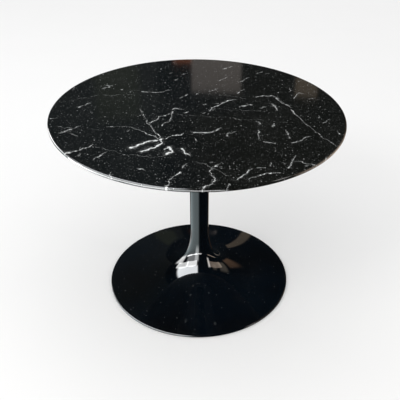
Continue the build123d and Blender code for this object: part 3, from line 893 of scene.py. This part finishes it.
def cast_iron():
    """Sand-cast iron under a thin grey primer, with rust starting in its pits."""
    material, board, place = new_material("primed cast iron")
    sand = board.noise(place, 320.0, 6.0, 0.7)["Fac"]
    lumps = board.noise(place, 40.0, 3.0)["Fac"]
    height = board.sum("MULTIPLY_ADD", lumps, 2.0, sand)
    pits = board.span(sand, 0.40, 0.30)
    tone = board.mix(board.span(lumps, 0.35, 0.65), rgba(PRIMER), rgba(PALE_PRIMER))
    tone = board.mix(pits, tone, rgba(RUST))
    close_material(board, {"Base Color": tone, "Roughness": 0.72, "Normal": board.bump(height, 0.6, 0.0012)})
    return material


def moulded(name, colour, roughness):
    """Moulded plastic: a fine spark texture, worn smoother and greyer in patches."""
    material, board, place = new_material(name)
    spark = board.noise(place, 1500.0, 3.0, 0.6)["Fac"]
    worn = board.span(board.noise(place, 55.0, 5.0, 0.7)["Fac"], 0.50, 0.72)
    greyer = tuple(c * 0.8 + 0.02 for c in colour)
    tone = board.mix(worn, rgba(colour), rgba(greyer))
    sheen = board.sum("MULTIPLY_ADD", worn, -0.12, roughness)
    close_material(board, {"Base Color": tone, "Roughness": sheen, "Normal": board.bump(spark, 0.3, 0.0002)})
    return material


def sheet_rubber():
    """Matt rubber sheet with a faint cloth print and chalky dust."""
    material, board, place = new_material("sheet rubber")
    weave = board.node("ShaderNodeTexChecker", {"Vector": place, "Scale": 900.0}).outputs["Fac"]
    chalk = board.span(board.noise(place, 30.0, 6.0, 0.7)["Fac"], 0.50, 0.80)
    tone = board.mix(board.sum("MULTIPLY", chalk, 0.4), rgba(RUBBER), rgba(CHALK))
    close_material(board, {"Base Color": tone, "Roughness": 0.85, "Normal": board.bump(weave, 0.2, 0.0002)})
    return material


class TABLE_OT_top_fixings(bpy.types.Operator):
    """Finishes what holds the stone: inserts, pad, plate, boss, washers, screws and gasket"""

    bl_idname = "pedestal_table.top_fixings"
    bl_label = "Top fixings"

    def execute(self, context):
        dress(turned_metal("turned brass", BRASS, 0.25), "top_inserts")
        dress(sheet_rubber(), "top_pad")
        dress(powder_coat("top plate coat", BLACK), "mounting_plate")
        dress(turned_metal("turned steel", BARE_STEEL, 0.30), "plate_boss")
        dress(plated_steel("top screw zinc", ZINC), "top_washers", "top_screws")
        dress(moulded("natural nylon", NATURAL_NYLON, 0.45), "head_gasket")
        return {"FINISHED"}


class TABLE_OT_tie_rod(bpy.types.Operator):
    """Finishes the tie rod, its washers and its nut"""

    bl_idname = "pedestal_table.tie_rod"
    bl_label = "Tie rod"

    def execute(self, context):
        dress(plated_steel("rod zinc", ZINC, 0.32), "tie_rod", "rod_washer", "rod_nut")
        dress(turned_metal("spring steel", OIL_BLACK, 0.38), "rod_spring_washer")
        return {"FINISHED"}


class TABLE_OT_underside(bpy.types.Operator):
    """Finishes the base plate, its screws, the ballast, the cap and the floor ring"""

    bl_idname = "pedestal_table.underside"
    bl_label = "Underside"

    def execute(self, context):
        dress(powder_coat("base plate coat", BLACK), "base_plate")
        dress(plated_steel("base screw zinc", ZINC), "base_plate_screws", "ballast_bolts")
        dress(cast_iron(), "ballast_ring")
        dress(moulded("black plastic", BLACK, 0.50), "access_cap", "floor_ring")
        return {"FINISHED"}


class TABLE_OT_glides(bpy.types.Operator):
    """Finishes the levelling glides: bushes, studs and nylon feet"""

    bl_idname = "pedestal_table.glides"
    bl_label = "Glides"

    def execute(self, context):
        dress(plated_steel("glide zinc", ZINC, 0.25), "glide_bushes", *[f"glide_stud_{i}" for i in GLIDES])
        dress(moulded("black nylon", BLACK_NYLON, 0.42), *[f"glide_foot_{i}" for i in GLIDES])
        return {"FINISHED"}


# ---------------------------------------------------------------- stage

WHITE = (1.0, 1.0, 1.0)
WARM = (1.0, 0.80, 0.64)
UPWARDS = (0.0, 0.0, 1.0)
HALFWAY_UP = (0.0, 0.0, 0.35)
FLOOR_SIZE = 60.0
DIM_ROOM = (0.010, 0.013, 0.016)

# What polished parts mirror of the studio, one soft-edged panel a line: its bearing and half-width,
# its low and high edge, the softness of its edges, all in degrees, and its radiance.
PANELS = (
    # the window, the wall under it and a brighter strip in front
    (-150.0, 52.0, 30.0, 68.0, 5.0, (11.0, 11.3, 11.6)),
    (-137.0, 37.0, -6.0, 30.0, 6.0, (2.2, 2.25, 2.3)),
    (-107.0, 13.0, -18.0, 14.0, 6.0, (4.0, 4.1, 4.1)),
    # narrow strips, one to the left and one to the right
    (152.0, 12.0, -8.0, 16.0, 4.0, (5.0, 5.0, 5.0)),
    (-24.0, 5.0, 4.0, 34.0, 3.0, (6.0, 5.8, 5.6)),
    # the pale floor to the left
    (-155.0, 60.0, -75.0, -8.0, 12.0, (1.20, 1.42, 1.46)),
    # warm things on the right, and one below them
    (4.0, 8.0, 22.0, 40.0, 4.0, (0.45, 0.38, 0.30)),
    (38.0, 10.0, 14.0, 40.0, 4.0, (0.46, 0.40, 0.32)),
    (62.0, 6.0, 8.0, 30.0, 3.0, (0.34, 0.20, 0.12)),
    (70.0, 14.0, -55.0, -15.0, 5.0, (0.50, 0.43, 0.36)),
    # the far wall, a red strip and a brown one at its edges, and two dark ones left of it
    (92.8, 2.35, 17.0, 23.2, 0.2, (0.34, 0.30, 0.275)),
    (96.0, 0.85, 17.0, 20.7, 0.2, (0.42, 0.12, 0.04)),
    (84.15, 1.05, 14.0, 23.2, 0.2, (0.28, 0.22, 0.16)),
    (115.0, 16.6, 16.0, 60.0, 0.3, (0.026, 0.027, 0.024)),
    (102.2, 2.0, 17.0, 25.5, 0.6, (0.035, 0.040, 0.020)),
)

def softbox(name, place, aim, width, height, radiance, colour=WHITE):
    """A soft rectangular light that faces a point."""
    bpy.ops.object.light_add(type="AREA", location=place)
    light = bpy.context.object
    light.name = name
    light.rotation_euler = (Vector(aim) - Vector(place)).to_track_quat("-Z", "Y").to_euler()
    light.data.shape = "RECTANGLE"
    light.data.size = width
    light.data.size_y = height
    light.data.energy = radiance * math.pi * width * height
    light.data.color = colour
    light.visible_camera = False
    light.visible_glossy = False
    return light


def mirror_card(name, place, facing, width, height, radiance, colour=WHITE):
    """A bright card that shows only in polished parts."""
    card = softbox(name, place, Vector(place) + Vector(facing), width, height, radiance, colour)
    card.visible_glossy = True
    card.visible_diffuse = False
    return card


def studio_world():
    """Pale light all round for matt surfaces, and a dim room with bright panels for polished ones."""
    world = bpy.data.worlds.new("studio")
    bpy.context.scene.world = world
    world.use_nodes = True
    world.node_tree.nodes.clear()
    board = Board(world.node_tree)
    toward = board.node("ShaderNodeTexCoord", {}).outputs["Generated"]
    rise = board.part(toward, "Z")
    heading = board.vector("NORMALIZE", board.vector("MULTIPLY", toward, (1.0, 1.0, 0.0)))
    room = DIM_ROOM
    for bearing, half, low, high, soft, radiance in PANELS:
        middle = (math.cos(math.radians(bearing)), math.sin(math.radians(bearing)), 0.0)
        nearness = board.measure("DOT_PRODUCT", heading, middle)
        outside, inside = (math.cos(math.radians(max(half + change, 0.0))) for change in (soft, -soft))
        side = board.span(nearness, outside, inside)
        foot, sill, brow, crown = (
            math.sin(math.radians(edge)) for edge in (low - soft, low + soft, high - soft, high + soft)
        )
        height = board.sum("MULTIPLY", board.span(rise, foot, sill), board.span(rise, crown, brow))
        shape = board.sum("MULTIPLY", side, height)
        room = board.vector("ADD", room, board.scaled(radiance, shape))
    glossy = board.node("ShaderNodeLightPath", {}).outputs["Is Glossy Ray"]
    colour = board.mix(glossy, rgba(WHITE), room)
    light = board.node("ShaderNodeBackground", {"Color": colour, "Strength": 1.0}).outputs[0]
    board.node("ShaderNodeOutputWorld", {"Surface": light})


def floor_finish(settings):
    """Pale matt floor with the faintest clouding."""
    material, board, place = new_material("pale floor")
    cloud = board.noise(place, 3.0, 4.0)["Fac"]
    darker = tuple(c * 0.985 for c in settings.floor)
    colour = board.mix(cloud, rgba(darker), rgba(settings.floor))
    close_material(board, {"Base Color": colour, "Roughness": 0.9, "Specular IOR Level": 0.0})
    return material


class TABLE_OT_stage(bpy.types.Operator):
    """Adds the floor, the lights and the camera"""

    bl_idname = "pedestal_table.stage"
    bl_label = "Stage"

    def execute(self, context):
        settings = context.scene.table_stage
        bpy.ops.object.select_all(action="DESELECT")
        bpy.ops.mesh.primitive_plane_add(size=FLOOR_SIZE, location=(0, 0, 0))
        floor = context.object
        floor.name = "floor"
        floor.data.materials.append(floor_finish(settings))
        floor.visible_glossy = False
        studio_world()
        softbox("window_light", (-2.3, -2.6, 3.3), HALFWAY_UP, 1.7, 1.5, 7.0, (1.0, 0.99, 0.97))
        softbox("side_light", (3.2, -1.4, 2.6), HALFWAY_UP, 0.5, 1.6, 4.0, (1.0, 0.96, 0.90))
        softbox("back_light", (-2.6, 2.0, 2.6), HALFWAY_UP, 0.5, 1.4, 2.5, (0.90, 0.96, 1.0))
        mirror_card("left_card", (-1.55, -0.50, 0.02), UPWARDS, 0.9, 1.2, 16.0)
        mirror_card("front_left_card", (-0.95, -1.55, 0.02), UPWARDS, 1.1, 0.9, 16.0)
        mirror_card("front_card", (0.10, -1.60, 0.02), UPWARDS, 0.9, 0.8, 9.0)
        mirror_card("right_card", (1.60, 0.25, 0.02), UPWARDS, 0.7, 1.5, 2.6, WARM)
        mirror_card("left_screen", (-0.95, -0.95, 0.68), (0.7, 0.7, 0.0), 1.6, 0.5, 9.0)
        mirror_card("far_left_screen", (-1.35, 0.10, 0.68), (1.0, 0.0, 0.0), 1.2, 0.5, 7.0)
        mirror_card("right_screen", (1.30, 0.10, 0.66), (-1.0, 0.0, 0.0), 1.6, 0.5, 1.7, WARM)
        bpy.ops.object.camera_add()
        camera = context.object
        tilt = Matrix.Rotation(math.pi / 2 - settings.pitch, 4, "X") @ Matrix.Rotation(settings.roll, 4, "Z")
        spot = Vector((settings.offset, -settings.distance, settings.height))
        camera.matrix_world = Matrix.Translation(spot) @ tilt
        camera.data.lens = settings.lens
        camera.data.shift_x = settings.shift[0]
        camera.data.shift_y = settings.shift[1]
        context.scene.camera = camera
        context.scene.view_settings.view_transform = "Standard"
        return {"FINISHED"}


# ---------------------------------------------------------------- add-on


class TABLE_PT_panel(bpy.types.Panel):
    """Lists the table's pieces in the sidebar"""

    bl_idname = "TABLE_PT_panel"
    bl_label = "Pedestal Table"
    bl_space_type = "VIEW_3D"
    bl_region_type = "UI"
    bl_category = "Pedestal Table"

    def draw(self, context):
        for operator in OPERATORS:
            self.layout.operator(operator.bl_idname)
        for group in (context.scene.table_stone, context.scene.table_pedestal, context.scene.table_stage):
            box = self.layout.box()
            for name in group.__annotations__:
                box.prop(group, name)


OPERATORS = (
    TABLE_OT_stage,
    TABLE_OT_stone_top,
    TABLE_OT_pedestal,
    TABLE_OT_top_fixings,
    TABLE_OT_tie_rod,
    TABLE_OT_underside,
    TABLE_OT_glides,
)
CLASSES = (StoneSettings, PedestalSettings, StageSettings, *OPERATORS, TABLE_PT_panel)


def register():
    """Registers the classes and hangs their settings on the scene."""
    for cls in CLASSES:
        bpy.utils.register_class(cls)
    bpy.types.Scene.table_stone = PointerProperty(type=StoneSettings)
    bpy.types.Scene.table_pedestal = PointerProperty(type=PedestalSettings)
    bpy.types.Scene.table_stage = PointerProperty(type=StageSettings)


def unregister():
    """Takes the settings and the classes away again."""
    del bpy.types.Scene.table_stage
    del bpy.types.Scene.table_pedestal
    del bpy.types.Scene.table_stone
    for cls in reversed(CLASSES):
        bpy.utils.unregister_class(cls)


def main():
    """Builds the table and its stage."""
    register()
    bpy.ops.pedestal_table.stage()
    bpy.ops.pedestal_table.stone_top()
    bpy.ops.pedestal_table.pedestal()
    bpy.ops.pedestal_table.top_fixings()
    bpy.ops.pedestal_table.tie_rod()
    bpy.ops.pedestal_table.underside()
    bpy.ops.pedestal_table.glides()


if __name__ == "__main__":
    main()
